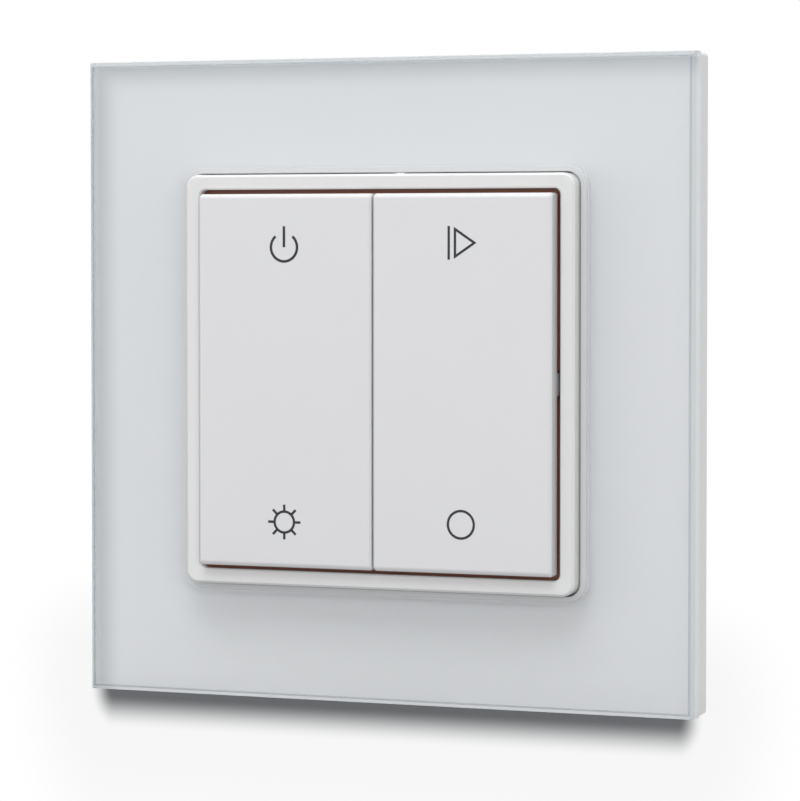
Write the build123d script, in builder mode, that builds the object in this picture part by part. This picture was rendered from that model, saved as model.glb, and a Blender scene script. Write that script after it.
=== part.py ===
from build123d import *
from math import atan2, degrees
import os

os.makedirs("parts", exist_ok=True)

# Wireless dimmer switch for a wall, in millimetres. X is to the right, Z is up and the front faces -Y.
# The origin is the middle of the wall face. A depth is a distance in front of the wall, and a half is
# half the width of a square that is centred on the origin.

# Frame: moulded body, glass, and the glue and film between them
frame_half = 43.0
frame_corner = 0.6
frame_front = 5.4
frame_wall = 1.0
frame_deck = 1.0
step_height = 2.0
step_inset = 1.8
step_wall = 1.2
glue_recess = 0.3
glue_inset = 0.8
glue_margin = 0.5
film_thickness = 0.1
film_fit = 0.1
film_gap = 0.02
glass_thickness = 2.6
glass_bevel = 0.6
opening_bevel = 0.2

# Ring round the rockers, and the thin collar in the glass opening
bezel_half = 27.5
bezel_corner = 1.7
bezel_face = 2.0
bezel_proud = 2.1
bezel_flange = 1.5
bezel_skirt_wall = 1.2
bezel_skirt_back = 4.4
bezel_edge = 0.3
bezel_inner_edge = 0.2
dish_width = 1.5
dish_fall = 0.15
catch_spacing = 30.0
catch_width = 4.0
catch_height = 0.8
catch_bite = 0.25
catch_fit = 0.1
trim_groove = 0.2
trim_wall = 0.8
trim_proud = 0.1
trim_flange = 2.0
trim_flange_thickness = 0.6
trim_edge = 0.1
trim_fit = 0.05
flange_fit = 0.1

# Rockers
rocker_gap = 0.6
rocker_slot = 0.3
rocker_proud = 3.6
rocker_plate = 1.2
rocker_wall = 1.0
rocker_height = 2.4
rocker_edge = 0.7
rocker_side_edge = 0.25
rocker_rib = 0.8
rocker_rib_spacing = 12.0
rocker_rib_reach = 14.0
pivot_depth = 8.4
stud_radius = 0.9
stud_length = 2.0
stud_fit = 0.06
lug_radius = 1.5
nib_radius = 1.2
tilt_clearance = 0.3

# Carrier: the box behind the rockers that holds board and cell
carrier_fit = 0.2
carrier_wall = 1.4
carrier_deck = 0.8
carrier_front = 8.0
carrier_rim = 0.5
ear_thickness = 1.4
ear_wall = 0.7
ear_gap = 0.4
stop_front = 9.3
stop_side = 1.6
stop_spacing = 6.0
stop_inset = 3.4
boss_side = 4.0
boss_gap = 0.3
pin_x = 8.0
pin_inset = 2.0
pin_post = 2.2
pin_side = 1.1
pin_head = 1.9
pin_head_thickness = 0.4
pin_fit = 0.1

# Tactile switches
plunger_reach = 8.0
plunger_side = 3.2
plunger_front = 7.6
plunger_fit = 0.05
plunger_flange = 4.2
plunger_flange_thickness = 0.3
plunger_travel = 0.28
nib_gap = 0.05
window_side = 4.4
switch_side = 6.0
switch_floor = 0.1
switch_front = 7.0
switch_cavity = 4.7
dome_length = 4.4
dome_width = 3.0
dome_crown = 1.6
dome_seat = 0.5
dome_height = 0.2
dome_sheet = 0.1
dome_gap = 0.04

# Board and what it carries on its back
board_gap = 1.2
board_front = 5.3
board_thickness = 0.8
boss_clearance = 0.5
cell_x = -6.0
cell_z = -5.5
cell_radius = 12.25
cell_thickness = 3.0
cell_edge = 0.3
cell_step = 0.9
cell_gap = 0.35
holder_fit = 0.2
holder_wall = 1.0
holder_mouth = 8.0
holder_back = 1.4
contact_sheet = 0.25
contact_width = 5.0
contact_foot = 2.2
contact_arm = 7.0
contact_pad = 0.15
contact_bump = 1.8
contact_bump_spacing = 6.0
can_inset_x = 9.0
can_inset_z = 11.5
can_side = 11.0
can_height = 1.6
can_sheet = 0.2
chip_side = 6.0
chip_height = 0.9
crystal_z = 0.5
crystal_length = 3.2
crystal_width = 1.5
crystal_height = 0.8
passive_z = -10.0
passive_length = 1.6
passive_width = 0.8
passive_height = 0.6
passive_pitch = 2.8
passive_rows = 3
antenna_inset_x = 3.5
antenna_inset_z = 7.5
antenna_length = 13.0
antenna_width = 1.5
antenna_height = 2.0
antenna_sheet = 0.3
antenna_feed = 4.0

# Cover, wall plate and their fasteners
cover_thickness = 0.8
cover_lip = 0.8
cover_lip_wall = 0.8
cover_fit = 0.1
screw_head = 1.8
screw_radius = 0.95
screw_length = 4.6
screw_fit = 0.05
plate_rim = 3.0
plate_corner = 3.0
plate_thickness = 1.6
plate_opening_gap = 0.7
slot_margin = 0.7
slot_length = 5.0
slot_radius = 1.7
head_room = 8.5
pad_length = 18.0
pad_width = 5.0
pad_depth = 0.8
pad_gap = 7.0
pad_fit = 0.1
arm_spacing = 26.0
arm_width = 6.0
arm_thickness = 0.7
arm_inset = 0.2
arm_front = 3.9
arm_nose = 0.8
notch_depth = 0.4
notch_fit = 0.1
hook_spacing = 40.0
hook_width = 6.0
hook_wall = 1.0
hook_gap = 0.4
hook_bite = 0.4
hook_back = 0.2
hook_nose = 0.7
hook_notch = 0.7
hook_notch_depth = 1.1
rib_thickness = 1.0
rib_spacing = 16.0
rib_back = 2.4
inner_wall = 1.2
inner_wall_back = 1.9

# Depths and half widths that follow from those above
glass_front = frame_front + glass_thickness
deck_front = frame_front - glue_recess
deck_back = deck_front - frame_deck
film_half = frame_half - glue_inset
film_front = frame_front - film_gap
film_back = film_front - film_thickness
trim_half = bezel_half + trim_groove + trim_wall
opening_half = trim_half + trim_fit
flange_half = trim_half + trim_flange
flange_back = film_back - film_fit - trim_flange_thickness
bezel_front = glass_front + bezel_proud
bezel_back = bezel_front - bezel_flange
rocker_half = bezel_half - bezel_face - rocker_gap
rocker_front = glass_front + rocker_proud
rocker_inner = rocker_front - rocker_plate
rocker_back = rocker_front - rocker_height
rocker_middle = (rocker_half + rocker_slot / 2) / 2
rocker_width = rocker_half - rocker_slot / 2
carrier_half = bezel_half - bezel_skirt_wall - carrier_fit
carrier_inner = carrier_half - carrier_wall
deck_inside = carrier_front - carrier_deck
plate_opening = carrier_half + plate_opening_gap
slot_reach = plate_opening + slot_margin + slot_length / 2
plate_half = slot_reach + slot_length / 2 + plate_rim
lip_half = carrier_inner - cover_fit
boss_reach = lip_half - cover_lip_wall - boss_gap - boss_side / 2
board_half = carrier_inner - board_gap
pin_z = board_half - pin_inset
can_x = board_half - can_inset_x
can_z = board_half - can_inset_z
board_back = board_front - board_thickness
cell_front = board_back - cell_gap
step_half = frame_half - step_inset
inside_half = step_half - step_wall
wall_half = opening_half + inner_wall
corner_middle = bezel_half - bezel_corner


def layer(depth):
    """Plane parallel to the wall, at a depth in front of it, seen from the front."""
    return Plane.XZ.offset(depth)


def round_corner(half):
    """Corner radius that keeps a square concentric with the ring's corners."""
    return half - corner_middle


def square(half, radius=0.0, mode=Mode.ADD):
    """Square about the origin in the open sketch."""
    if radius > 0:
        RectangleRounded(2 * half, 2 * half, radius, mode=mode)
    else:
        Rectangle(2 * half, 2 * half, mode=mode)


def square_slab(half, back, front, radius=0.0, hole=0.0, hole_radius=0.0, mode=Mode.ADD):
    """Square slab between two depths, with a square hole where one is given."""
    with BuildSketch(layer(back)) as outline:
        square(half, radius)
        if hole > 0:
            square(hole, hole_radius, Mode.SUBTRACT)
    extrude(outline.sketch, amount=front - back, mode=mode)


def block(x_low, x_high, z_low, z_high, back, front, mode=Mode.ADD):
    """Block given by its sides."""
    with BuildSketch(layer(back)) as outline:
        with Locations(((x_low + x_high) / 2, (z_low + z_high) / 2)):
            Rectangle(abs(x_high - x_low), abs(z_high - z_low))
    extrude(outline.sketch, amount=front - back, mode=mode)


def squares(places, side, back, front, mode=Mode.ADD):
    """Square posts or holes at some places, between two depths."""
    with BuildSketch(layer(back)) as outline:
        with Locations(*places):
            Rectangle(side, side)
    extrude(outline.sketch, amount=front - back, mode=mode)


def discs(places, radius, back, front, mode=Mode.ADD):
    """Round posts or holes at some places, between two depths."""
    with BuildSketch(layer(back)) as outline:
        with Locations(*places):
            Circle(radius)
    extrude(outline.sketch, amount=front - back, mode=mode)


def on_each_side(radial_low, radial_high, spacing, width, back, front, mode=Mode.ADD):
    """The same pair of blocks on each of the four sides, given by their distances from the middle."""
    with BuildSketch(layer(back)) as outline:
        with PolarLocations((radial_low + radial_high) / 2, 4):
            with GridLocations(0, spacing, 1, 2):
                Rectangle(radial_high - radial_low, width)
    extrude(outline.sketch, amount=front - back, mode=mode)


def save(builder, name):
    """Name a finished piece and write it."""
    builder.part.label = name
    export_step(builder.part, f"parts/{name}.step")


corners = [(x, z) for x in (-boss_reach, boss_reach) for z in (-boss_reach, boss_reach)]
pins = [(x, z) for x in (-pin_x, pin_x) for z in (-pin_z, pin_z)]
switches = [(x, z) for x in (-rocker_middle, rocker_middle) for z in (-plunger_reach, plunger_reach)]


# Glass: flat sheet with a square opening and a polished bevel along its front edges
with BuildPart() as glass_plate:
    square_slab(frame_half, frame_front, glass_front, hole=opening_half,
                hole_radius=round_corner(opening_half))
    face = glass_plate.faces().sort_by(Axis.Y)[0]
    chamfer(face.outer_wire().edges(), length=glass_bevel)
    face = glass_plate.faces().sort_by(Axis.Y)[0]
    chamfer(face.inner_wires()[0].edges(), length=opening_bevel)
save(glass_plate, "glass_plate")


# White film on the back of the glass
with BuildPart() as back_print:
    square_slab(film_half, film_back, film_front, hole=opening_half + film_fit,
                hole_radius=round_corner(opening_half + film_fit))
save(back_print, "back_print")


# Glue between the film and the frame's deck, outside the collar's flange
with BuildPart() as glass_adhesive:
    glue_hole = flange_half + glue_margin
    square_slab(film_half - glue_margin, deck_front, film_back, hole=glue_hole,
                hole_radius=round_corner(glue_hole))
save(glass_adhesive, "glass_adhesive")


# Frame body: double outer wall, deck for the glass, wall round the opening, ribs and hooks
with BuildPart() as frame_body:
    square_slab(frame_half, step_height, frame_front, radius=frame_corner)
    square_slab(film_half + film_fit, deck_front, frame_front, mode=Mode.SUBTRACT)
    square_slab(frame_half - frame_wall, step_height, deck_back, mode=Mode.SUBTRACT)
    square_slab(step_half, 0, deck_back, radius=frame_corner, hole=inside_half)
    with BuildSketch(layer(rib_back)) as ribs:
        with PolarLocations((wall_half + inside_half) / 2, 4):
            with GridLocations(0, rib_spacing, 1, 4):
                Rectangle(inside_half - wall_half + 2 * inner_wall / 3, rib_thickness)
    extrude(amount=deck_back - rib_back)
    square_slab(wall_half, inner_wall_back, deck_back, radius=round_corner(wall_half))
    hook_face = plate_half + hook_gap
    on_each_side(hook_face, hook_face + hook_wall, hook_spacing, hook_width, hook_back, deck_back)
    on_each_side(plate_half - hook_bite, hook_face, hook_spacing, hook_width, hook_back,
                 hook_back + hook_nose)
    square_slab(opening_half, 0, frame_front, radius=round_corner(opening_half), mode=Mode.SUBTRACT)
    square_slab(flange_half + flange_fit, flange_back, frame_front,
                radius=round_corner(flange_half + flange_fit), mode=Mode.SUBTRACT)
    with BuildSketch(layer(0)) as head_cuts:
        with PolarLocations(opening_half + inner_wall / 2, 4):
            Rectangle(3 * inner_wall, head_room)
    extrude(amount=deck_back, mode=Mode.SUBTRACT)
save(frame_body, "frame_body")


# Collar in the glass opening: thin wall with a flange that the glass traps on the deck
with BuildPart() as opening_trim:
    trim_inner = trim_half - trim_wall
    square_slab(trim_half, flange_back, glass_front + trim_proud, radius=round_corner(trim_half))
    square_slab(flange_half, flange_back, flange_back + trim_flange_thickness,
                radius=round_corner(flange_half))
    square_slab(trim_inner, flange_back, glass_front + trim_proud, radius=round_corner(trim_inner),
                mode=Mode.SUBTRACT)
    chamfer(opening_trim.faces().sort_by(Axis.Y)[0].edges(), length=trim_edge)
save(opening_trim, "opening_trim")


# Raised ring: a face that falls slightly inwards, and a skirt whose catches snap into the carrier
with BuildPart() as bezel_ring:
    bezel_inner = bezel_half - bezel_face
    skirt_inner = bezel_half - bezel_skirt_wall
    inner_corner = bezel_corner / 2
    square_slab(bezel_half, bezel_skirt_back, bezel_front, radius=bezel_corner)
    square_slab(skirt_inner, bezel_skirt_back, bezel_back, radius=round_corner(skirt_inner),
                mode=Mode.SUBTRACT)
    with BuildSketch(layer(bezel_front - dish_fall)):
        square(bezel_inner, inner_corner)
    extrude(amount=dish_fall, taper=-degrees(atan2(dish_width, dish_fall)), mode=Mode.SUBTRACT)
    square_slab(bezel_inner, bezel_back, bezel_front, radius=inner_corner, mode=Mode.SUBTRACT)
    chamfer(bezel_ring.faces().sort_by(Axis.Y)[0].outer_wire().edges(), length=bezel_edge)
    rim = bezel_ring.edges().filter_by_position(Axis.Y, dish_fall / 2 - bezel_front,
                                                dish_fall * 1.5 - bezel_front)
    chamfer(rim, length=bezel_inner_edge)
    on_each_side(carrier_half - catch_bite, skirt_inner, catch_spacing, catch_width, bezel_skirt_back,
                 bezel_skirt_back + catch_height)
save(bezel_ring, "bezel_ring")


# Rocker: shallow cap with two pivot lugs, round studs, two nibs and stiffening ribs
with BuildPart() as right_rocker:
    with BuildSketch(layer(rocker_back)) as outline:
        with Locations((rocker_middle, 0)):
            Rectangle(rocker_width, 2 * rocker_half)
    extrude(amount=rocker_height)
    rim = right_rocker.faces().sort_by(Axis.Y)[0].edges()
    fillet(rim.filter_by(Axis.X), radius=rocker_edge)
    rim = right_rocker.faces().sort_by(Axis.Y)[0].edges()
    chamfer(rim.filter_by(Axis.Z), length=rocker_side_edge)
    block(rocker_slot / 2 + rocker_wall, rocker_half - rocker_wall, rocker_wall - rocker_half,
          rocker_half - rocker_wall, rocker_back, rocker_inner, mode=Mode.SUBTRACT)
    for x in (rocker_middle - rocker_rib_spacing / 2, rocker_middle + rocker_rib_spacing / 2):
        block(x - rocker_rib / 2, x + rocker_rib / 2, rocker_wall - rocker_half,
              rocker_half - rocker_wall, rocker_back, rocker_inner)
    for z in (-rocker_rib_reach, rocker_rib_reach):
        block(rocker_slot / 2 + rocker_wall, rocker_half - rocker_wall, z - rocker_rib / 2,
              z + rocker_rib / 2, rocker_back, rocker_inner)
    lug_faces = ((rocker_slot / 2, 1), (rocker_half, -1))
    for outer_x, inward in lug_faces:
        with BuildSketch(Plane.YZ.offset(outer_x)) as lug:
            with Locations((-pivot_depth, 0)):
                Circle(lug_radius)
            with Locations((-(pivot_depth + rocker_inner) / 2, 0)):
                Rectangle(rocker_inner - pivot_depth, 2 * lug_radius)
        extrude(amount=inward * rocker_wall)
        with BuildSketch(Plane.YZ.offset(outer_x + inward * rocker_wall)) as stud:
            with Locations((-pivot_depth, 0)):
                Circle(stud_radius)
        extrude(amount=inward * stud_length)
    discs([(rocker_middle, -plunger_reach), (rocker_middle, plunger_reach)], nib_radius,
          plunger_front + nib_gap, rocker_inner)
save(right_rocker, "right_rocker")

with BuildPart() as left_rocker:
    mirror(right_rocker.part, about=Plane.YZ)
save(left_rocker, "left_rocker")


# Carrier: box open to the back, whose deck bears the rockers in four eyes
with BuildPart() as rocker_carrier:
    rim_inner = carrier_half - carrier_rim
    square_slab(carrier_half, cover_thickness, carrier_front, radius=round_corner(carrier_half))
    square_slab(carrier_half, carrier_front, bezel_back, radius=round_corner(carrier_half),
                hole=rim_inner)
    square_slab(carrier_inner, cover_thickness, deck_inside, mode=Mode.SUBTRACT)
    squares(corners, boss_side, cover_thickness, deck_inside)
    discs(corners, screw_radius + screw_fit, cover_thickness, cover_thickness + screw_length,
          mode=Mode.SUBTRACT)
    squares(pins, pin_post, board_front, deck_inside)
    squares(pins, pin_side, board_back, board_front)
    squares(pins, pin_head, board_back - pin_head_thickness, board_back)
    squares(switches, window_side, deck_inside, carrier_front, mode=Mode.SUBTRACT)
    lug_floor = pivot_depth - lug_radius - tilt_clearance
    pocket_out = rocker_half + tilt_clearance
    inner_lug = rocker_slot / 2 + rocker_wall
    outer_lug = rocker_half - rocker_wall
    for sign in (-1, 1):
        block(0, sign * (inner_lug + tilt_clearance), -lug_radius - tilt_clearance,
              lug_radius + tilt_clearance, lug_floor, carrier_front, mode=Mode.SUBTRACT)
        block(sign * (outer_lug - tilt_clearance), sign * pocket_out, -lug_radius - tilt_clearance,
              lug_radius + tilt_clearance, lug_floor, carrier_front, mode=Mode.SUBTRACT)
        for face, inward in ((inner_lug, 1), (outer_lug, -1)):
            block(sign * face, sign * (face + inward * (stud_length + tilt_clearance)),
                  -stud_radius - tilt_clearance, stud_radius + tilt_clearance, deck_inside,
                  carrier_front, mode=Mode.SUBTRACT)
    eye_outer = stud_radius + stud_fit + ear_wall
    ear_in = inner_lug + ear_gap
    ear_out = outer_lug - ear_gap - ear_thickness
    for x_low in (-ear_out - ear_thickness, -ear_in - ear_thickness, ear_in, ear_out):
        with BuildSketch(Plane.YZ.offset(x_low)) as ear:
            with Locations((-pivot_depth, 0)):
                Circle(eye_outer)
            with Locations((-(deck_inside + pivot_depth) / 2, 0)):
                Rectangle(pivot_depth - deck_inside, 2 * eye_outer)
        extrude(amount=ear_thickness)
        with BuildSketch(Plane.YZ.offset(x_low)) as eye:
            with Locations((-pivot_depth, 0)):
                Circle(stud_radius + stud_fit)
        extrude(amount=ear_thickness, mode=Mode.SUBTRACT)
    with BuildSketch(layer(carrier_front)) as stops:
        with Locations((-rocker_middle, 0), (rocker_middle, 0)):
            with GridLocations(stop_spacing, 2 * (rocker_half - stop_inset), 2, 2):
                Rectangle(stop_side, stop_side)
    extrude(amount=stop_front - carrier_front)
    on_each_side(carrier_half - notch_depth, carrier_half + notch_depth, arm_spacing,
                 arm_width + 2 * notch_fit, arm_front - arm_nose - notch_fit, arm_front + notch_fit,
                 mode=Mode.SUBTRACT)
    on_each_side(carrier_half - catch_bite - catch_fit, carrier_half, catch_spacing,
                 catch_width + 2 * catch_fit, bezel_skirt_back - catch_fit,
                 bezel_skirt_back + catch_height + catch_fit, mode=Mode.SUBTRACT)
save(rocker_carrier, "rocker_carrier")


# Tactile switches: open base, contact dome and the push-button that the rocker's nib presses
cavity_back = board_front + switch_floor
dome_top = cavity_back + dome_height
flange_back_rest = dome_top + dome_gap + plunger_travel
cavity_front = flange_back_rest + plunger_flange_thickness + plunger_travel + dome_gap
with BuildPart() as switch_bases:
    squares(switches, switch_side, board_front, switch_front)
    squares(switches, switch_cavity, cavity_back, cavity_front, mode=Mode.SUBTRACT)
    squares(switches, plunger_side + 2 * plunger_fit, cavity_front, switch_front, mode=Mode.SUBTRACT)
save(switch_bases, "switch_bases")

with BuildPart() as dome:
    seat_middle = cavity_back + dome_sheet / 2
    crown_middle = dome_top - dome_sheet / 2
    seat_reach = dome_length / 2
    with BuildSketch(Plane.XY.offset(-dome_width / 2)) as strip:
        with BuildLine():
            Polyline((-seat_reach, -seat_middle), (dome_seat - seat_reach, -seat_middle),
                     (-dome_crown / 2, -crown_middle), (dome_crown / 2, -crown_middle),
                     (seat_reach - dome_seat, -seat_middle), (seat_reach, -seat_middle))
        trace(line_width=dome_sheet)
    extrude(amount=dome_width)

with BuildPart() as switch_domes:
    with Locations(*[(x, 0, z) for x, z in switches]):
        add(dome.part)
save(switch_domes, "switch_domes")

for side, x in (("left", -rocker_middle), ("right", rocker_middle)):
    for end, z in (("bottom", -plunger_reach), ("top", plunger_reach)):
        with BuildPart() as plunger:
            squares([(x, z)], plunger_side, flange_back_rest, plunger_front)
            squares([(x, z)], plunger_flange, flange_back_rest,
                    flange_back_rest + plunger_flange_thickness)
        save(plunger, f"{side}_{end}_plunger")


# Board, notched round the screw bosses and pierced for the carrier's pins
with BuildPart() as circuit_board:
    square_slab(board_half, board_back, board_front)
    squares(pins, pin_side + 2 * pin_fit, board_back, board_front, mode=Mode.SUBTRACT)
    notch = boss_reach - boss_side / 2 - boss_clearance
    for side_x in (-1, 1):
        for side_z in (-1, 1):
            block(side_x * notch, side_x * board_half, side_z * notch, side_z * board_half, board_back,
                  board_front, mode=Mode.SUBTRACT)
save(circuit_board, "circuit_board")


# Coin cell: can with a smaller negative face towards the board
with BuildPart() as coin_cell:
    discs([(cell_x, cell_z)], cell_radius, cell_front - cell_thickness, cell_front - cell_edge)
    chamfer(coin_cell.faces().sort_by(Axis.Y)[-1].edges(), length=cell_edge)
    discs([(cell_x, cell_z)], cell_radius - cell_step, cell_front - cell_edge, cell_front)
save(coin_cell, "coin_cell")


# Holder: ring wall round the cell, open where the positive contact comes down
with BuildPart() as battery_holder:
    with BuildSketch(layer(holder_back)) as wall:
        with Locations((cell_x, cell_z)):
            Circle(cell_radius + holder_fit + holder_wall)
            Circle(cell_radius + holder_fit, mode=Mode.SUBTRACT)
        with Locations((cell_x + cell_radius, cell_z)):
            Rectangle(cell_radius, holder_mouth, mode=Mode.SUBTRACT)
    extrude(amount=board_back - holder_back)
save(battery_holder, "battery_holder")


# Contacts: a strip folded over the cell's can, and a plate with two bumps on its negative face
with BuildPart() as positive_contact:
    over = cell_front - cell_thickness - contact_sheet / 2
    down = cell_x + cell_radius + holder_fit + contact_sheet / 2
    foot = board_back - contact_sheet / 2
    with BuildSketch(Plane.XY.offset(cell_z - contact_width / 2)) as strip:
        with BuildLine():
            Polyline((down - contact_arm, -over), (down, -over), (down, -foot),
                     (down + contact_foot, -foot))
        trace(line_width=contact_sheet)
    extrude(amount=contact_width)
save(positive_contact, "positive_contact")

with BuildPart() as negative_contact:
    with BuildSketch(layer(board_back - (cell_gap - contact_pad))) as pad:
        with Locations((cell_x, cell_z)):
            Rectangle(2 * contact_bump_spacing, contact_width)
    extrude(amount=cell_gap - contact_pad)
    bumps = [(cell_x - contact_bump_spacing / 2, cell_z), (cell_x + contact_bump_spacing / 2, cell_z)]
    squares(bumps, contact_bump, cell_front, board_back)
save(negative_contact, "negative_contact")


# Radio: controller under its can, crystal, aerial and small parts
with BuildPart() as shield_can:
    block(can_x - can_side / 2, can_x + can_side / 2, can_z - can_side / 2, can_z + can_side / 2,
          board_back - can_height, board_back)
    offset(amount=-can_sheet, openings=shield_can.faces().sort_by(Axis.Y)[0])
save(shield_can, "shield_can")

with BuildPart() as controller_chip:
    block(can_x - chip_side / 2, can_x + chip_side / 2, can_z - chip_side / 2, can_z + chip_side / 2,
          board_back - chip_height, board_back)
save(controller_chip, "controller_chip")

with BuildPart() as crystal:
    with BuildSketch(layer(board_back - crystal_height)) as outline:
        with Locations((can_x, crystal_z)):
            SlotOverall(crystal_length, crystal_width)
    extrude(amount=crystal_height)
save(crystal, "crystal")

with BuildPart() as passive_components:
    with BuildSketch(layer(board_back - passive_height)) as outline:
        with Locations((can_x, passive_z)):
            with GridLocations(passive_pitch, passive_pitch, passive_rows, passive_rows):
                Rectangle(passive_length, passive_width)
    extrude(amount=passive_height)
save(passive_components, "passive_components")

with BuildPart() as antenna:
    antenna_left = antenna_inset_x - board_half
    antenna_z = board_half - antenna_inset_z
    bar_back = board_back - antenna_height
    block(antenna_left, antenna_left + antenna_length, antenna_z, antenna_z + antenna_width, bar_back,
          bar_back + antenna_sheet)
    for x in (antenna_left, antenna_left + antenna_feed):
        block(x, x + antenna_sheet, antenna_z, antenna_z + antenna_width, bar_back, board_back)
save(antenna, "antenna")


# Cover of the box, with a lip inside the walls and four countersunk screws
with BuildPart() as rear_cover:
    square_slab(carrier_half, 0, cover_thickness, radius=round_corner(carrier_half))
    square_slab(lip_half, cover_thickness, cover_thickness + cover_lip, hole=lip_half - cover_lip_wall)
    with Locations(layer(0)):
        with Locations(*[(x, z, 0) for x, z in corners]):
            Cone(screw_head + screw_fit, screw_radius + screw_fit, cover_thickness,
                 align=(Align.CENTER, Align.CENTER, Align.MIN), mode=Mode.SUBTRACT)
save(rear_cover, "rear_cover")

with BuildPart() as case_screws:
    with Locations(layer(0)):
        with Locations(*[(x, z, 0) for x, z in corners]):
            Cylinder(screw_radius, screw_length, align=(Align.CENTER, Align.CENTER, Align.MIN))
            Cone(screw_head, screw_radius, cover_thickness,
                 align=(Align.CENTER, Align.CENTER, Align.MIN))
save(case_screws, "case_screws")


# Wall plate: screw slots, snap arms that hold the carrier, notches for the frame's hooks
pad_x = pad_gap + pad_length / 2
pad_z = (plate_opening + plate_half) / 2
pads = [(x, z) for x in (-pad_x, pad_x) for z in (-pad_z, pad_z)]
with BuildPart() as mounting_plate:
    square_slab(plate_half, 0, plate_thickness, radius=plate_corner, hole=plate_opening,
                hole_radius=round_corner(plate_opening))
    arm_root = plate_opening + arm_inset
    on_each_side(arm_root, arm_root + arm_thickness, arm_spacing, arm_width, plate_thickness, arm_front)
    on_each_side(carrier_half - notch_depth + notch_fit, arm_root, arm_spacing, arm_width,
                 arm_front - arm_nose, arm_front)
    with BuildSketch(layer(0)) as slots:
        with PolarLocations(slot_reach, 4):
            SlotOverall(slot_length, 2 * slot_radius)
    extrude(amount=plate_thickness, mode=Mode.SUBTRACT)
    on_each_side(plate_half - hook_notch, plate_half + hook_notch, hook_spacing,
                 hook_width + 2 * hook_gap, 0, hook_notch_depth, mode=Mode.SUBTRACT)
    with BuildSketch(layer(0)) as pockets:
        with Locations(*pads):
            Rectangle(pad_length + 2 * pad_fit, pad_width + 2 * pad_fit)
    extrude(amount=pad_depth, mode=Mode.SUBTRACT)
save(mounting_plate, "mounting_plate")

with BuildPart() as adhesive_pads:
    with BuildSketch(layer(0)) as outline:
        with Locations(*pads):
            Rectangle(pad_length, pad_width)
    extrude(amount=pad_depth)
save(adhesive_pads, "adhesive_pads")
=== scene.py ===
import bmesh
import bpy
from math import cos, pi, radians, sin
from mathutils import Matrix, Vector


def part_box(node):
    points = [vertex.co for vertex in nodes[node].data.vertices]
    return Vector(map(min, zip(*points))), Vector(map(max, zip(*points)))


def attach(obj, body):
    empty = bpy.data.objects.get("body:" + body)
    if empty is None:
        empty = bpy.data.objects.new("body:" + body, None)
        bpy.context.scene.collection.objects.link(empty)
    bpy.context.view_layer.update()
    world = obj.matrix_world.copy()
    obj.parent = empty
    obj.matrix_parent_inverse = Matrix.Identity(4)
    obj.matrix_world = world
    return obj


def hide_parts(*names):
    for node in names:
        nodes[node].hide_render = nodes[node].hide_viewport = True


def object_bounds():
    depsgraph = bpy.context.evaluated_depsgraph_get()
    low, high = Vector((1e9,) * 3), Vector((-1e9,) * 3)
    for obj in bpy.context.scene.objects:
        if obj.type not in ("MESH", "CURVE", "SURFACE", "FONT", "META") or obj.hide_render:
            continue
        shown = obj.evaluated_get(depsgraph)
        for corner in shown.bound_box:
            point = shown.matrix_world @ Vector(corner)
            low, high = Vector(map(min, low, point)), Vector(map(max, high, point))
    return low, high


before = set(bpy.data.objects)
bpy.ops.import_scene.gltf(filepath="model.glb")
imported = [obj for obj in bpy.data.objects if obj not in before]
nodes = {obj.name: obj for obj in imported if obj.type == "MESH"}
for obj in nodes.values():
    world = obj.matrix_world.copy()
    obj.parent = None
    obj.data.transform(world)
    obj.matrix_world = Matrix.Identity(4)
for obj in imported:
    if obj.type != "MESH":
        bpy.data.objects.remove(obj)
cad_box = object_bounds()


# Wall plate: the flat part that is screwed or stuck to the wall and that the frame snaps on. It is
# moulded in one piece, with its slots and arms, in grey nylon filled with short glass fibre.
def linear(hex_colour):
    """The linear colour that stands for an sRGB hex value."""
    channels = [int(hex_colour[i:i + 2], 16) / 255 for i in (1, 3, 5)]
    return [c / 12.92 if c <= 0.04045 else ((c + 0.055) / 1.055) ** 2.4 for c in channels] + [1.0]


def put(tree, kind, inputs, **settings):
    """Add a node with its settings. An input takes a value, or a link from another node's output."""
    node = tree.nodes.new(kind)
    for name, value in settings.items():
        setattr(node, name, value)
    for name, value in inputs.items():
        if isinstance(value, bpy.types.NodeSocket):
            tree.links.new(value, node.inputs[name])
        else:
            node.inputs[name].default_value = value
    return node


def plain(name, **sockets):
    """Material whose shader has the given values, its node tree, its shader and its object coordinates."""
    material = bpy.data.materials.new(name)
    material.use_nodes = True
    tree = material.node_tree
    shader = tree.nodes["Principled BSDF"]
    for socket, value in sockets.items():
        shader.inputs[socket.replace("_", " ")].default_value = value
    place = put(tree, "ShaderNodeTexCoord", {}).outputs["Object"]
    return material, tree, shader, place


def grained(name, light, dark, roughness, uneven, grain_mm, relief_mm, stretch=(1, 1, 1), **sockets):
    """Material with a grain between two colours that also makes its gloss and its face uneven."""
    material, tree, shader, place = plain(name, **sockets)
    mapped = put(tree, "ShaderNodeMapping", {"Vector": place, "Scale": stretch})
    noise = put(tree, "ShaderNodeTexNoise", {"Vector": mapped.outputs["Vector"], "Scale": 1000 / grain_mm,
                                             "Detail": 4.0, "Roughness": 0.6})
    tones = put(tree, "ShaderNodeMix", {0: noise.outputs["Fac"], 6: linear(dark), 7: linear(light)},
                data_type="RGBA")
    gloss = put(tree, "ShaderNodeMapRange", {"Value": noise.outputs["Fac"], "To Min": roughness - uneven,
                                             "To Max": roughness + uneven})
    bump = put(tree, "ShaderNodeBump", {"Height": noise.outputs["Fac"], "Distance": relief_mm / 1000})
    tree.links.new(tones.outputs[2], shader.inputs["Base Color"])
    tree.links.new(gloss.outputs["Result"], shader.inputs["Roughness"])
    tree.links.new(bump.outputs["Normal"], shader.inputs["Normal"])
    return material


def dress(name, material):
    """Give a node of the fixed frame its finish."""
    nodes[name].data.materials.clear()
    nodes[name].data.materials.append(material)


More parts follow.
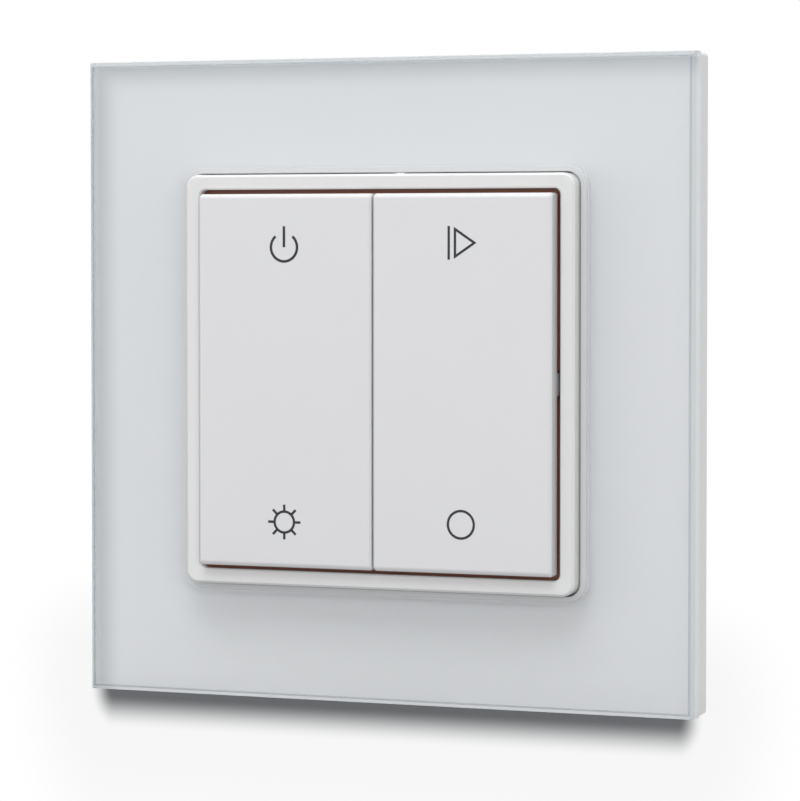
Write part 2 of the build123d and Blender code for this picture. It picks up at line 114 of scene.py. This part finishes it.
# Fibre ends give the nylon a dull face with a faint mottle. They are finer than the render can show,
# so the mottle is drawn at 0.7 mm.
filled_nylon = grained("filled_nylon_moulded", "#a9acae", "#94979a", roughness=0.48, uneven=0.08,
                       grain_mm=0.7, relief_mm=0.012)
dress("mounting_plate", filled_nylon)


# Foam pads: four strips of white acrylic foam tape, die-cut and set into the pockets of the wall
# plate's back. The closed cells leave a dull, finely pitted face.
acrylic_foam = grained("acrylic_foam_cut", "#e9e8e2", "#d2d1ca", roughness=0.85, uneven=0.05,
                       grain_mm=0.35, relief_mm=0.05)
dress("adhesive_pads", acrylic_foam)


# Rear cover: flat moulding in the same filled nylon. It closes the box of electronics from behind,
# with a lip inside the box's walls, and four screws hold it.
dress("rear_cover", filled_nylon)


# Case screws: four countersunk thread-forming screws that hold the cover on the carrier's bosses.
# They are cold-headed with a cross recess, thread-rolled and zinc-plated.
def piece(mesh, name, body, material):
    """Make a finished mesh an object of the scene that rides on a body."""
    bmesh.ops.recalc_face_normals(mesh, faces=mesh.faces)
    data = bpy.data.meshes.new(name)
    mesh.to_mesh(data)
    mesh.free()
    made = bpy.data.objects.new(name, data)
    bpy.context.scene.collection.objects.link(made)
    data.materials.append(material)
    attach(made, body)
    return made


def close(mesh, sides):
    """Fill the holes that have at most this many sides, or all of them with 0."""
    bmesh.ops.holes_fill(mesh, edges=[edge for edge in mesh.edges if edge.is_boundary], sides=sides)


def verts_of(made):
    """The vertices in what an operator made."""
    return [item for item in made["geom"] if isinstance(item, bmesh.types.BMVert)]


screw_low, screw_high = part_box("case_screws")
head_radius = 0.0018
head_height = 0.0008
head_chamfer = 0.0001
core_radius = 0.00072
tip_height = 0.0004
thread_radius = 0.00095
thread_pitch = 0.0006
thread_turns = 5
turn_steps = 24
flank_half = thread_pitch * 0.35
root_overlap = 0.00005
recess_half = 0.00028
recess_reach = 0.0011
recess_depth = 0.0006
recess_draft = 0.6
recess_lip = 0.00005
head_face = screw_high.y - 1e-6

# Bright zinc is a grey mirror with a fine uneven gloss; a painted shade darkens it down in the recess.
zinc_plate = grained("zinc_plated_steel", "#c9ccce", "#a6aaad", roughness=0.32, uneven=0.08, grain_mm=0.4,
                     relief_mm=0.004, Metallic=1.0)
tree = zinc_plate.node_tree
colour = tree.nodes["Principled BSDF"].inputs["Base Color"]
split = put(tree, "ShaderNodeSeparateXYZ",
            {"Vector": put(tree, "ShaderNodeTexCoord", {}).outputs["Object"]})
# Painted shade: the zinc's colour turns dark grey with depth in the cross recess.
sunk = put(tree, "ShaderNodeMapRange", {"Value": split.outputs["Y"], "From Min": screw_high.y - recess_lip,
                                        "From Max": screw_high.y - recess_depth})
recess_shade = put(tree, "ShaderNodeMix", {0: sunk.outputs["Result"], 6: colour.links[0].from_socket,
                                     7: linear("#4a4c4e")}, data_type="RGBA")
tree.links.new(recess_shade.outputs[2], colour)

screws = bmesh.new()
outline = [screws.verts.new(point) for point in (
    (head_radius - head_chamfer, screw_high.y, 0), (head_radius, screw_high.y - head_chamfer, 0),
    (core_radius, screw_high.y - head_height, 0), (core_radius, screw_low.y + tip_height, 0),
    (core_radius / 2, screw_low.y, 0))]
edges = [screws.edges.new(pair) for pair in zip(outline, outline[1:])]
bmesh.ops.spin(screws, geom=edges, cent=(0, 0, 0), axis=(0, 1, 0), angle=2 * pi, steps=32, use_merge=True)
close(screws, 0)
for normal in (Vector((1, 0, 0)), Vector((0, 0, 1))):
    for reach in (-recess_half, recess_half, -recess_reach, recess_reach):
        head = [face for face in screws.faces if face.calc_center_median().y > head_face]
        rims = dict.fromkeys(edge for face in head for edge in face.edges)
        points = dict.fromkeys(vert for face in head for vert in face.verts)
        bmesh.ops.bisect_plane(screws, geom=[*head, *rims, *points], dist=1e-7, plane_co=normal * reach,
                               plane_no=normal)
cross = []
for face in screws.faces:
    middle = face.calc_center_median()
    narrow, wide = sorted((abs(middle.x), abs(middle.z)))
    if middle.y > head_face and narrow < recess_half and wide < recess_reach:
        cross.append(face)
bottom = verts_of(bmesh.ops.extrude_face_region(screws, geom=cross))
bmesh.ops.delete(screws, geom=cross, context="FACES")
bmesh.ops.scale(screws, verts=bottom, vec=(recess_draft, 1, recess_draft))
bmesh.ops.translate(screws, verts=bottom, vec=(0, -recess_depth, 0))
start = screw_high.y - head_height - thread_pitch / 2
flank = [screws.verts.new(point) for point in (
    (core_radius - root_overlap, start + flank_half, 0), (thread_radius, start, 0),
    (core_radius - root_overlap, start - flank_half, 0))]
edges = [screws.edges.new(pair) for pair in zip(flank, flank[1:] + flank[:1])]
bmesh.ops.spin(screws, geom=edges, cent=(0, 0, 0), axis=(0, 1, 0), dvec=(0, -thread_pitch / turn_steps, 0),
               angle=2 * pi * thread_turns, steps=turn_steps * thread_turns)
close(screws, 3)
first = [*screws.verts, *screws.edges, *screws.faces]
screw_x = screw_high.x - head_radius
bmesh.ops.translate(screws, verts=screws.verts, vec=(screw_x, 0, screw_x))
for quarter in (1, 2, 3):
    copied = verts_of(bmesh.ops.duplicate(screws, geom=first))
    bmesh.ops.rotate(screws, verts=copied, cent=(0, 0, 0), matrix=Matrix.Rotation(quarter * pi / 2, 3, "Y"))
case_screws = piece(screws, "cross_recess_screws", "housing", zinc_plate)
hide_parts("case_screws")


# Carrier: box moulding in dark red-brown PBT that bears the rockers in its eyes and holds the
# electronics. From the front it only shows in the gap round the rockers, as a dull warm line.
carrier_plastic = grained("dark_pbt_moulded", "#ab7058", "#96604c", roughness=0.42, uneven=0.08,
                          grain_mm=0.9, relief_mm=0.01)
dress("rocker_carrier", carrier_plastic)


# Switches: four tactile switches, sold as one soldered part each. A black nylon base holds a domed
# disc of rolled spring steel, and an acetal push-button stands on the dome.

# Nylon from a matt mould is dull black.
black_nylon = grained("black_nylon_moulded", "#1d1d1e", "#131314", roughness=0.5, uneven=0.08,
                      grain_mm=0.3, relief_mm=0.006)
# Rolled steel is bright, with a grain drawn out along the rolling direction.
rolled_steel = grained("rolled_spring_steel", "#d3d3d1", "#b9b9b7", roughness=0.28, uneven=0.07,
                       grain_mm=0.25, relief_mm=0.003, stretch=(0.08, 1, 1), Metallic=1.0)
# Natural acetal is a waxy, slightly warm white.
acetal = grained("natural_acetal", "#e4e4de", "#d9d9d2", roughness=0.35, uneven=0.05, grain_mm=0.6,
                 relief_mm=0.004)
dress("switch_bases", black_nylon)
dress("switch_domes", rolled_steel)
for column in ("left", "right"):
    for end in ("bottom", "top"):
        dress(f"{column}_{end}_plunger", acetal)


# Circuit board: glass laminate with etched copper under green solder mask, routed from a panel. The
# copper reads through the smooth mask as fields of lighter green, 3 mm by 1.5 mm here.
field_mm = 3
copper = 0.00003
solder_mask, tree, shader, place = plain("green_solder_mask", Roughness=0.3)
upright = put(tree, "ShaderNodeMapping", {"Vector": place, "Rotation": (radians(90), 0, 0)})
pour = put(tree, "ShaderNodeTexBrick", {"Vector": upright.outputs["Vector"], "Scale": 500 / field_mm,
                                        "Mortar Size": 0.03, "Color1": linear("#1c6b3a"),
                                        "Color2": linear("#195f34"), "Mortar": linear("#0e3c20")})
bump = put(tree, "ShaderNodeBump", {"Height": pour.outputs["Fac"], "Distance": -copper})
tree.links.new(pour.outputs["Color"], shader.inputs["Base Color"])
tree.links.new(bump.outputs["Normal"], shader.inputs["Normal"])
dress("circuit_board", solder_mask)


# Radio parts: the controller's black epoxy body under a tin-plated sheet can, the clock crystal in its
# own can and a bent sheet aerial, all soldered on the board.

# Tin plate is a soft bright grey with cloudy patches.
tin_plate = grained("tin_plated_sheet", "#d6d5d0", "#bdbcb7", roughness=0.3, uneven=0.1, grain_mm=1.2,
                    relief_mm=0.004, Metallic=1.0)
# Moulded epoxy has a dull black face. Its grit is drawn at 0.15 mm, coarser than it is.
epoxy = grained("black_epoxy_moulded", "#202021", "#171718", roughness=0.55, uneven=0.06, grain_mm=0.15,
                relief_mm=0.006)
for name in ("shield_can", "crystal", "antenna"):
    dress(name, tin_plate)
dress("controller_chip", epoxy)


# Small parts: chip resistors and capacitors, reflowed on the board in rows. Their sintered ceramic
# bodies are a dull tan, and their tinned ends show bright.
chip_pitch_mm = 2.8
body_half_mm = 0.5
chips_low, chips_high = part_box("passive_components")
chips_middle_mm = (chips_low.x + chips_high.x) * 500
ceramic, tree, shader, place = plain("ceramic_with_tinned_ends", Roughness=0.4)
split = put(tree, "ShaderNodeSeparateXYZ", {"Vector": place})
along_mm = put(tree, "ShaderNodeMath", {0: split.outputs["X"], 1: 1000.0, 2: -chips_middle_mm},
               operation="MULTIPLY_ADD")
from_middle = put(tree, "ShaderNodeMath", {0: along_mm.outputs[0], 1: chip_pitch_mm / 2},
                  operation="PINGPONG")
tinned = put(tree, "ShaderNodeMath", {0: from_middle.outputs[0], 1: body_half_mm}, operation="GREATER_THAN")
ends = put(tree, "ShaderNodeMix", {0: tinned.outputs[0], 6: linear("#8d7b57"), 7: linear("#cfcec9")},
           data_type="RGBA")
tree.links.new(ends.outputs[2], shader.inputs["Base Color"])
tree.links.new(tinned.outputs[0], shader.inputs["Metallic"])
dress("passive_components", ceramic)


# Coin cell and its contacts: a nickel-plated steel can in a black nylon cup, between a tin-plated
# sheet below and a spring strip above. The can's lid carries a stamped plus sign.
stamp_half = 0.0004
stamp_reach = 0.0028
stamp_depth = 0.0001
cell_low, cell_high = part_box("coin_cell")
# Nickel plate is a clear warm mirror, brushed lightly along X.
nickel_plate = grained("nickel_plated_can", "#d9d9d6", "#c6c6c2", roughness=0.25, uneven=0.06,
                       grain_mm=0.5, relief_mm=0.003, stretch=(0.1, 1, 1), Metallic=1.0)
tree = nickel_plate.node_tree
relief = tree.nodes["Principled BSDF"].inputs["Normal"]
place = put(tree, "ShaderNodeTexCoord", {}).outputs["Object"]
centred = put(tree, "ShaderNodeVectorMath", {0: place, 1: (cell_low + cell_high) / 2}, operation="SUBTRACT")
folded = put(tree, "ShaderNodeVectorMath", {0: centred.outputs[0]}, operation="ABSOLUTE")
split = put(tree, "ShaderNodeSeparateXYZ", {"Vector": folded.outputs[0]})
nearer = put(tree, "ShaderNodeMath", {0: split.outputs["X"], 1: split.outputs["Z"]}, operation="MINIMUM")
farther = put(tree, "ShaderNodeMath", {0: split.outputs["X"], 1: split.outputs["Z"]}, operation="MAXIMUM")
thin = put(tree, "ShaderNodeMath", {0: nearer.outputs[0], 1: stamp_half}, operation="LESS_THAN")
short = put(tree, "ShaderNodeMath", {0: farther.outputs[0], 1: stamp_reach}, operation="LESS_THAN")
plus = put(tree, "ShaderNodeMath", {0: thin.outputs[0], 1: short.outputs[0]}, operation="MULTIPLY")
stamp = put(tree, "ShaderNodeBump", {"Height": plus.outputs[0], "Distance": -stamp_depth,
                                     "Normal": relief.links[0].from_socket})
tree.links.new(stamp.outputs["Normal"], relief)
dress("coin_cell", nickel_plate)
dress("battery_holder", black_nylon)
dress("positive_contact", rolled_steel)
dress("negative_contact", tin_plate)


# Rockers: shallow caps moulded in white polycarbonate in a polished mould, clipped with their studs
# into the carrier. They are smooth, with a soft gloss and the faint waviness of a moulded face.
rocker_plastic = grained("white_polycarbonate", "#e4e4e6", "#e1e1e3", roughness=0.22, uneven=0.02,
                         grain_mm=9.0, relief_mm=0.01)
dress("left_rocker", rocker_plastic)
dress("right_rocker", rocker_plastic)


# Marks: four plain symbols pad-printed on the rockers' faces, one near each end, in dark grey ink.
# The ink lies 0.02 mm thick and dries dull, with a fine grain drawn at 0.2 mm.
ink = grained("dark_grey_ink", "#26262a", "#1f1f23", roughness=0.5, uneven=0.05, grain_mm=0.2,
              relief_mm=0.001)
ink_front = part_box("right_rocker")[0].y
ink_thickness = 0.00002
mark_x = 0.0125
mark_z = 0.0184


def bar(mesh, middle, length, stroke, turn):
    """Straight stroke of ink about a point of the face, turned from upright."""
    shape = Matrix.Translation((middle[0], ink_front - ink_thickness / 2, middle[1]))
    shape = shape @ Matrix.Rotation(turn, 4, "Y") @ Matrix.Diagonal((stroke, ink_thickness, length, 1))
    bmesh.ops.create_cube(mesh, size=1.0, matrix=shape)


def arc(mesh, middle, radius, stroke, gap):
    """Round stroke of ink, open at its top by a gap."""
    start = Matrix.Translation((middle[0], ink_front - ink_thickness / 2, middle[1]))
    start = start @ Matrix.Rotation(gap / 2, 4, "Y") @ Matrix.Translation((0, 0, radius))
    start = start @ Matrix.Rotation(radians(90), 4, "Y") @ Matrix.Diagonal((stroke, ink_thickness, 1, 1))
    corners = bmesh.ops.create_grid(mesh, x_segments=1, y_segments=1, size=0.5, matrix=start)["verts"]
    edges = list(dict.fromkeys(edge for vert in corners for edge in vert.link_edges))
    faces = list(dict.fromkeys(face for vert in corners for face in vert.link_faces))
    bmesh.ops.delete(mesh, geom=faces, context="FACES_ONLY")
    bmesh.ops.spin(mesh, geom=edges, cent=(middle[0], ink_front, middle[1]), axis=(0, 1, 0),
                   angle=2 * pi - gap, steps=48, use_merge=gap == 0)


def print_mark(mesh, name, body):
    """Close a mark and let it ride on its rocker."""
    close(mesh, 4)
    piece(mesh, name, body, ink)


# Power mark on the left rocker: a ring that is open at the top, and a bar in the opening.
power_stroke = 0.00036
power = bmesh.new()
arc(power, (-mark_x, mark_z - 0.0006), radius=0.00188, stroke=power_stroke, gap=radians(80))
bar(power, (-mark_x, mark_z + 0.0008), length=0.0028, stroke=power_stroke, turn=0)
print_mark(power, "power_mark", "left_rocker")

# Brightness mark below it: a ring with eight rays.
sun_stroke = 0.00034
sun_z = -0.0188
ray_middle = 0.00193
rays = 8
sun = bmesh.new()
arc(sun, (-mark_x, sun_z), radius=0.0014, stroke=sun_stroke, gap=0)
for ray in range(rays):
    turn = ray * 2 * pi / rays
    bar(sun, (-mark_x + ray_middle * sin(turn), sun_z + ray_middle * cos(turn)), length=0.0008,
        stroke=sun_stroke, turn=turn)
print_mark(sun, "brightness_mark", "left_rocker")

# Scene mark on the right rocker: a bar beside an outlined triangle.
scene_stroke = 0.00033
bar_x = 0.0108
triangle_x = 0.0115
triangle_tip = 0.01465
triangle_half = 0.0021
play = bmesh.new()
bar(play, (bar_x, mark_z), length=0.0044, stroke=scene_stroke, turn=0)
corners = [play.verts.new((x, ink_front, z)) for x, z in (
    (triangle_x, mark_z - triangle_half), (triangle_x, mark_z + triangle_half), (triangle_tip, mark_z))]
triangle = play.faces.new(corners)
triangle.normal_update()
bmesh.ops.inset_individual(play, faces=[triangle], thickness=scene_stroke, use_even_offset=True)
bmesh.ops.delete(play, geom=[triangle], context="FACES_ONLY")
rim = [face for face in play.faces if all(abs(vert.co.y - ink_front) < 1e-7 for vert in face.verts)
       and any(vert in corners for vert in face.verts)]
raised = verts_of(bmesh.ops.extrude_face_region(play, geom=rim, use_keep_orig=True))
bmesh.ops.translate(play, verts=raised, vec=(0, -ink_thickness, 0))
print_mark(play, "scene_mark", "right_rocker")

# Plain ring below it.
ring = bmesh.new()
arc(ring, (mark_x, -mark_z), radius=0.0018, stroke=scene_stroke, gap=0)
print_mark(ring, "ring_mark", "right_rocker")


# Bezel ring: raised ring round the rockers, moulded in white ABS in a polished mould and seated in
# the frame. The polish gives a clear gloss over a face with very faint waves.
gloss_abs = grained("gloss_white_abs", "#e8e8e8", "#e5e5e5", roughness=0.2, uneven=0.02, grain_mm=11.0,
                    relief_mm=0.006)
dress("bezel_ring", gloss_abs)


# Collar: thin tube that lines the opening of the glass, moulded in milky polycarbonate. Part of the
# light goes through it, so that it throws only a faint shade.
def cover(material, share, shader):
    """Lay another shader over what a material shows, by a share from 0 to 1."""
    tree = material.node_tree
    surface = tree.nodes["Material Output"].inputs["Surface"]
    mix = put(tree, "ShaderNodeMixShader", {0: share, 1: surface.links[0].from_socket,
                                            2: shader.outputs[0]})
    tree.links.new(mix.outputs[0], surface)


milky = grained("milky_polycarbonate", "#d6d8d9", "#d2d4d5", roughness=0.25, uneven=0.03, grain_mm=8.0,
                relief_mm=0.008)
light_through = 0.6
# Its outer wall touches the glass. It is left open from inside, or it would shade the glass's own wall.
tree = milky.node_tree
path = put(tree, "ShaderNodeLightPath", {})
passed = put(tree, "ShaderNodeMath", {0: path.outputs["Is Shadow Ray"], 1: light_through},
             operation="MULTIPLY")
behind = put(tree, "ShaderNodeNewGeometry", {}).outputs["Backfacing"]
unseen = put(tree, "ShaderNodeMath", {0: passed.outputs[0], 1: behind}, operation="MAXIMUM")
cover(milky, unseen.outputs[0], put(tree, "ShaderNodeBsdfTransparent", {}))
dress("opening_trim", milky)


# Frame body: hollow moulding in glossy white ABS that carries the glass and snaps on the wall plate.
# Its side shows as a white band behind the glass, a little less bright than the ring.
frame_abs = grained("gloss_white_abs_frame", "#dedfe0", "#dbdcdd", roughness=0.2, uneven=0.02,
                    grain_mm=11.0, relief_mm=0.012)
# Its rim lies on the glass's back. It too is left open from inside, so that it doesn't shade that face.
tree = frame_abs.node_tree
behind = put(tree, "ShaderNodeNewGeometry", {}).outputs["Backfacing"]
cover(frame_abs, behind, put(tree, "ShaderNodeBsdfTransparent", {}))
dress("frame_body", frame_abs)


# Film and glue behind the glass: white polyester film, printed and die-cut to the glass's shape, and
# a clear sheet of acrylic transfer glue that holds film and glass on the frame. The film is an even
# matt white, and the glue a faint haze.
film = grained("white_polyester_print", "#e9eaec", "#e6e7e9", roughness=0.5, uneven=0.04, grain_mm=2.0,
               relief_mm=0.002)
glue = grained("clear_transfer_glue", "#e2e2dd", "#dadad4", roughness=0.35, uneven=0.05, grain_mm=1.0,
               relief_mm=0.004, Alpha=0.6)
dress("back_print", film)
dress("glass_adhesive", glue)


# Glass: a square of clear float glass that is glued on the frame, with its opening cut by water jet
# and its bevels ground and polished. It is colourless face on, with clear mirror images of the room.
film_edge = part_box("back_print")[1].x
glass_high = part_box("glass_plate")[1]
tint_mm = 30
clear_glass, tree, shader, place = plain("clear_float_glass", Roughness=0.0, IOR=1.5,
                                         Transmission_Weight=1.0)
noise = put(tree, "ShaderNodeTexNoise", {"Vector": place, "Scale": 1000 / tint_mm, "Detail": 1.0})
tint = put(tree, "ShaderNodeMix", {0: noise.outputs["Fac"], 6: linear("#fbfdfd"), 7: linear("#fdfefe")},
           data_type="RGBA")
tree.links.new(tint.outputs[2], shader.inputs["Base Color"])
path = put(tree, "ShaderNodeLightPath", {})
clear = put(tree, "ShaderNodeBsdfTransparent", {"Color": linear("#fdfefe")})
cover(clear_glass, path.outputs["Is Shadow Ray"], clear)

# Ground edges: the arris between the face and the bevel is a matt line, and the bevels at the top and
# the sides carry a painted shade in a matt grey, which the bottom bevel is spared.
arris_inset = 0.0006
arris_half = 0.00014
arris_share = 0.42
bevel_shade_share = 0.14
arris_reach = glass_high.x - arris_inset
split = put(tree, "ShaderNodeSeparateXYZ", {"Vector": place})
folded = put(tree, "ShaderNodeVectorMath", {0: place}, operation="ABSOLUTE")
sides = put(tree, "ShaderNodeSeparateXYZ", {"Vector": folded.outputs[0]})
widest = put(tree, "ShaderNodeMath", {0: sides.outputs["X"], 1: sides.outputs["Z"]}, operation="MAXIMUM")
arris = put(tree, "ShaderNodeMath", {0: widest.outputs[0], 1: arris_reach, 2: arris_half},
            operation="COMPARE")
lined = put(tree, "ShaderNodeMath", {0: arris.outputs[0], 1: arris_share}, operation="MULTIPLY")
upper = put(tree, "ShaderNodeMath", {0: sides.outputs["X"], 1: split.outputs["Z"]}, operation="MAXIMUM")
bevel = put(tree, "ShaderNodeMath", {0: upper.outputs[0], 1: arris_reach}, operation="GREATER_THAN")
painted_bevel_shade = put(tree, "ShaderNodeMath", {0: bevel.outputs[0], 1: bevel_shade_share}, operation="MULTIPLY")
ground = put(tree, "ShaderNodeMath", {0: lined.outputs[0], 1: painted_bevel_shade.outputs[0]}, operation="MAXIMUM")
# The matt grey serves both the arris line and the painted shade on the upper bevels.
cover(clear_glass, ground.outputs[0], put(tree, "ShaderNodeBsdfDiffuse", {"Color": linear("#949fa4")}))

# Touching faces: film and collar lie on the glass with no air between, so its back and the wall of its
# opening show their white, seen from inside, and nothing from outside. The white is darkened by a painted
# shade along the top and left rim, where the bevels turn the light away.
shade_width = 0.0034
shade_beyond = 0.0003
corner_blend = 0.002
contact = 0.00001
opening_within = 0.04
sideways_limit = 0.1
left = put(tree, "ShaderNodeMath", {0: split.outputs["X"], 1: -1.0}, operation="MULTIPLY")
rimward = put(tree, "ShaderNodeMath", {0: left.outputs[0], 1: split.outputs["Z"], 2: corner_blend},
              operation="SMOOTH_MAX")
shade = put(tree, "ShaderNodeMapRange", {"Value": rimward.outputs[0], "From Min": film_edge - shade_width,
                                         "From Max": film_edge + shade_beyond},
            interpolation_type="SMOOTHSTEP")
# Painted shade: the print's white turns greyer toward the top and left rim.
white = put(tree, "ShaderNodeMix", {0: shade.outputs["Result"], 6: linear("#d8d9db"), 7: linear("#bec1c4")},
            data_type="RGBA")
printed = put(tree, "ShaderNodeBsdfDiffuse", {"Color": white.outputs[2]})
geometry = put(tree, "ShaderNodeNewGeometry", {})
from_inside = put(tree, "ShaderNodeMixShader", {0: geometry.outputs["Backfacing"], 1: clear.outputs[0],
                                                2: printed.outputs[0]})
on_back = put(tree, "ShaderNodeMath", {0: split.outputs["Y"], 1: glass_high.y - contact},
              operation="GREATER_THAN")
facing = put(tree, "ShaderNodeVectorMath", {0: geometry.outputs["True Normal"]}, operation="ABSOLUTE")
forward = put(tree, "ShaderNodeSeparateXYZ", {"Vector": facing.outputs[0]}).outputs["Y"]
sideways = put(tree, "ShaderNodeMath", {0: forward, 1: sideways_limit}, operation="LESS_THAN")
inner = put(tree, "ShaderNodeMath", {0: widest.outputs[0], 1: opening_within}, operation="LESS_THAN")
in_opening = put(tree, "ShaderNodeMath", {0: sideways.outputs[0], 1: inner.outputs[0]},
                 operation="MULTIPLY")
touching = put(tree, "ShaderNodeMath", {0: on_back.outputs[0], 1: in_opening.outputs[0]},
               operation="MAXIMUM")
cover(clear_glass, touching.outputs[0], from_inside)
dress("glass_plate", clear_glass)


# Table and surround: a white table that runs into a white surround with no edge between them. The
# plate stands on the table, and a painted shadow darkens it in a soft strip along its foot.
surround_on_matt = 0.5


def brightness(tree):
    """How bright the white surround is: 1 where it is seen, mirrored or looked at through glass, and less
    where it only lights a matt surface."""
    path = put(tree, "ShaderNodeLightPath", {})
    mirrored = put(tree, "ShaderNodeMath", {0: path.outputs["Is Camera Ray"],
                                            1: path.outputs["Is Glossy Ray"]}, operation="MAXIMUM")
    seen = put(tree, "ShaderNodeMath", {0: mirrored.outputs[0], 1: path.outputs["Is Transmission Ray"]},
               operation="MAXIMUM")
    level = put(tree, "ShaderNodeMapRange", {"Value": seen.outputs[0], "To Min": surround_on_matt})
    return level.outputs["Result"]


floor_level = cad_box[0][2]
floor_half = 4.0
mesh = bmesh.new()
bmesh.ops.create_grid(mesh, x_segments=1, y_segments=1, size=floor_half,
                      matrix=Matrix.Translation((0, 0, floor_level)))
data = bpy.data.meshes.new("floor")
mesh.to_mesh(data)
mesh.free()
floor = bpy.data.objects.new("floor", data)
bpy.context.scene.collection.objects.link(floor)
white_table, tree, shader, place = plain("white_table", Roughness=0.5, Specular_IOR_Level=0.0)
# Its own colour is a dark grey; a white glow over it, held back near the plate, leaves a painted shadow.
shader.inputs["Base Color"].default_value = linear("#484b4f")

# The painted shadow strip is measured from a fixed point in front of the plate: slopes from there are
# carried to the strip's front, so that its two ends stand upright under the plate's corners. It is dark
# at the plate and fades within 3 cm, and its last trace within 16 cm.
view_foot = (0.16, -0.42, 0)
strip_front = 0.412
strip_middle = 0.416
strip_shift = 0.0007
strip_half = (0.0401, 0.004, 10)
end_weight = (9, 1, 1)
foot = put(tree, "ShaderNodeVectorMath", {0: place, 1: view_foot}, operation="SUBTRACT")
axes = put(tree, "ShaderNodeSeparateXYZ", {"Vector": foot.outputs[0]})
slope = put(tree, "ShaderNodeMath", {0: axes.outputs["X"], 1: axes.outputs["Y"]}, operation="DIVIDE")
across = put(tree, "ShaderNodeMath", {0: slope.outputs[0], 1: strip_front, 2: view_foot[0] - strip_shift},
             operation="MULTIPLY_ADD")
depth = put(tree, "ShaderNodeMath", {0: axes.outputs["Y"], 1: strip_middle}, operation="SUBTRACT")
slanted = put(tree, "ShaderNodeCombineXYZ", {"X": across.outputs[0], "Y": depth.outputs[0]})
folded = put(tree, "ShaderNodeVectorMath", {0: slanted.outputs[0]}, operation="ABSOLUTE")
beyond = put(tree, "ShaderNodeVectorMath", {0: folded.outputs[0], 1: strip_half}, operation="SUBTRACT")
outside = put(tree, "ShaderNodeVectorMath", {0: beyond.outputs[0], 1: (0, 0, 0)}, operation="MAXIMUM")
weighed = put(tree, "ShaderNodeVectorMath", {0: outside.outputs[0], 1: end_weight}, operation="MULTIPLY")
away = put(tree, "ShaderNodeVectorMath", {0: weighed.outputs[0]}, operation="LENGTH")
near_fade = put(tree, "ShaderNodeMapRange", {"Value": away.outputs["Value"], "From Min": 0.004,
                                             "From Max": 0.0328, "To Min": 0.08, "To Max": 0.92},
                interpolation_type="SMOOTHSTEP")
far_fade = put(tree, "ShaderNodeMapRange", {"Value": away.outputs["Value"], "From Min": 0.04,
                                            "From Max": 0.16, "To Min": 0.0, "To Max": 0.08},
               interpolation_type="SMOOTHSTEP")
fade = put(tree, "ShaderNodeMath", {0: near_fade.outputs["Result"], 1: far_fade.outputs["Result"]})

# The painted shadow shows to the eye only. Light that the table throws back comes mostly from its white.
white_to_others = 0.7
path = put(tree, "ShaderNodeLightPath", {})
others = put(tree, "ShaderNodeMath", {0: path.outputs["Is Camera Ray"], 1: -white_to_others,
                                      2: white_to_others}, operation="MULTIPLY_ADD")
open_part = put(tree, "ShaderNodeMath", {0: fade.outputs[0], 1: others.outputs[0]}, operation="MAXIMUM")
white_part = put(tree, "ShaderNodeMath", {0: open_part.outputs[0], 1: brightness(tree)},
                 operation="MULTIPLY")
glow = put(tree, "ShaderNodeEmission", {"Color": (1, 1, 1, 1), "Strength": 1.0})
cover(white_table, white_part.outputs[0], glow)
data.materials.append(white_table)

world = bpy.data.worlds.new("studio")
bpy.context.scene.world = world
world.use_nodes = True
background = world.node_tree.nodes["Background"]
background.inputs["Color"].default_value = (1, 1, 1, 1)
world.node_tree.links.new(brightness(world.node_tree), background.inputs["Strength"])


# Studio light: four softboxes round the plate. The one above grazes the face, so that the raised ring
# throws a soft shade below it.
def lamp(name, place, aim, width, height, watts):
    """Softbox: a rectangular lamp that looks at a point."""
    light = bpy.data.lights.new(name, "AREA")
    light.shape = "RECTANGLE"
    light.size = width
    light.size_y = height
    light.energy = watts
    box = bpy.data.objects.new(name, light)
    bpy.context.scene.collection.objects.link(box)
    box.location = place
    box.visible_transmission = False
    box.rotation_euler = (Vector(aim) - Vector(place)).to_track_quat("-Z", "Y").to_euler()


lamp("top_softbox", (0, 0.11, 0.68), aim=(0, 0.02, -0.02), width=0.90, height=0.22, watts=1.9)
lamp("high_softbox", (0, -0.52, 0.80), aim=(0, 0, 0), width=0.7, height=0.45, watts=4.2)
lamp("right_softbox", (0.58, -0.82, 0.12), aim=(0, 0, 0), width=0.5, height=0.5, watts=2.0)
lamp("left_softbox", (-0.75, -0.55, 0.10), aim=(0, 0, 0), width=0.5, height=0.5, watts=1.0)


# Camera: a long lens that looks at the plate from its right, slightly downwards.
turned = radians(20.87)
lowered = radians(1.961)
camera_data = bpy.data.cameras.new("camera")
camera_data.lens = 149.93
camera_data.sensor_width = 36
camera_data.shift_y = -0.06
camera_data.clip_start = 0.01
camera = bpy.data.objects.new("camera", camera_data)
bpy.context.scene.collection.objects.link(camera)
camera.location = (0.1599, -0.4205, 0.0190)
camera.rotation_euler = (radians(90) - lowered, 0, turned)
bpy.context.scene.camera = camera
bpy.context.scene.view_settings.view_transform = "Standard"
